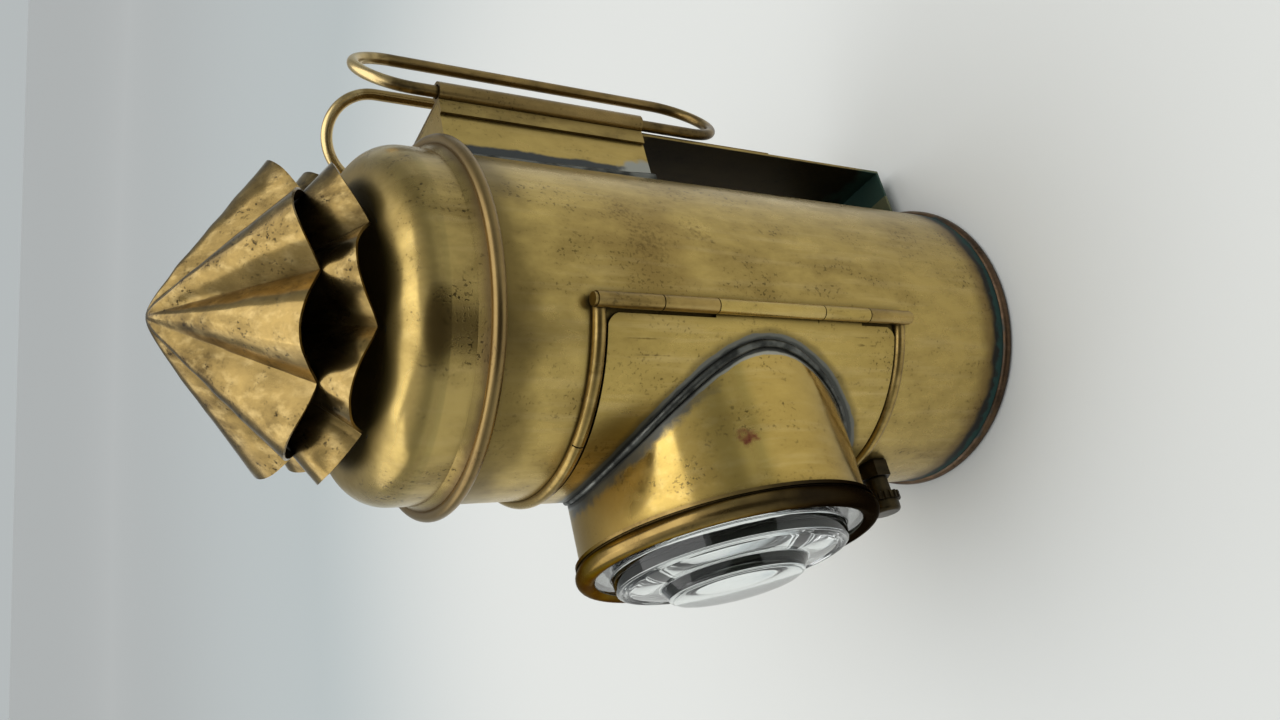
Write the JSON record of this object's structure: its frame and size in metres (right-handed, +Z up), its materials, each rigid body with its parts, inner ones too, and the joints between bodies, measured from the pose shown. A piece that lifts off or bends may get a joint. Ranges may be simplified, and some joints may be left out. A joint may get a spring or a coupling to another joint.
{
  "type": "boat signal lantern",
  "caption": "Hand lantern in sheet brass with a bull's-eye lens on a hinged door, a crimped chimney cap that turns colour panes, loop handles and a wick winder.",
  "frame": {"origin": "centre of the flat underside, on the axis of the body tube", "axes": "+Z up the body axis, -Y out through the lens, +X toward the door's hinge"},
  "size_m": [0.0954, 0.1555, 0.2272],
  "materials": {
    "aged_brass": "aged, with fine pitting",
    "dark_brass": "dark brown patina",
    "solder": "dull soft solder",
    "clear_glass": "clear pressed glass",
    "red_glass": "red glass",
    "green_glass": "green glass",
    "cotton_wick": "woven cotton",
    "polished_reflector": "dull silvered sheet"
  },
  "bodies": {
    "body": {"body_shell": "aged_brass", "base_plate": "aged_brass", "door_frame_bead": "aged_brass", "frame_knuckles": "aged_brass", "hinge_pin": "dark_brass", "catch_leaf": "aged_brass", "back_box": "aged_brass", "box_solder_seams": "solder", "back_strap": "dark_brass", "handle_plate": "dark_brass", "winder_bush": "dark_brass", "oil_reservoir": "aged_brass", "filler_cap": "aged_brass", "burner_collar": "aged_brass", "wick_tube": "aged_brass", "reflector": "polished_reflector", "reflector_bracket": "aged_brass"},
    "door": {"door_panel": "aged_brass", "door_pull": "aged_brass", "lens_tube": "aged_brass", "lens_solder_seam": "solder", "lens_bezel": "aged_brass", "lens_glass": "clear_glass", "lens_ring": "aged_brass"},
    "cap": {"cap_dome": "aged_brass", "cap_rim_wire": "dark_brass", "flue_tube": "dark_brass", "chimney_lower_tier": "aged_brass", "chimney_upper_tier": "aged_brass", "chimney_solder": "solder", "filter_drum": "dark_brass", "red_pane": "red_glass", "green_pane": "green_glass"},
    "hinge_side_loop": {"hinge_side_handle": "dark_brass"},
    "catch_side_loop": {"catch_side_handle": "dark_brass"},
    "winder": {"winder_shaft": "aged_brass", "spur_wheels": "aged_brass", "winder_knob": "dark_brass"},
    "wick_ribbon": {"wick": "cotton_wick"}
  },
  "joints": [
    {"name": "door_hinge", "type": "hinge", "parent": "body", "child": "door", "pos_m": [0.04336, -0.01536, 0.0908], "axis": [0, 0, 1], "range_deg": [0, 110]},
    {"name": "cap_turn", "type": "hinge", "parent": "body", "child": "cap", "pos_m": [0, 0, 0.164], "axis": [0, 0, 1], "range_deg": [-120, 120]},
    {"name": "hinge_side_handle_swing", "type": "hinge", "parent": "body", "child": "hinge_side_loop", "pos_m": [0.0213, 0.05805, 0.1226], "axis": [0, 0, 1], "range_deg": [-160, 15]},
    {"name": "catch_side_handle_swing", "type": "hinge", "parent": "body", "child": "catch_side_loop", "pos_m": [-0.0213, 0.05805, 0.1226], "axis": [0, 0, -1], "range_deg": [-160, 15]},
    {"name": "winder_turn", "type": "hinge", "parent": "body", "child": "winder", "pos_m": [0.0058, 0, 0.0373], "axis": [0, 1, 0], "range_deg": [-65, 65]},
    {"name": "wick_slide", "type": "slide", "parent": "body", "child": "wick_ribbon", "axis": [0, 0, 1], "range_m": [-0.005, 0.005]}
  ],
  "couplings": [
    {"joint": "wick_slide", "follows": "winder_turn", "m_per_rad": 0.0044}
  ]
}
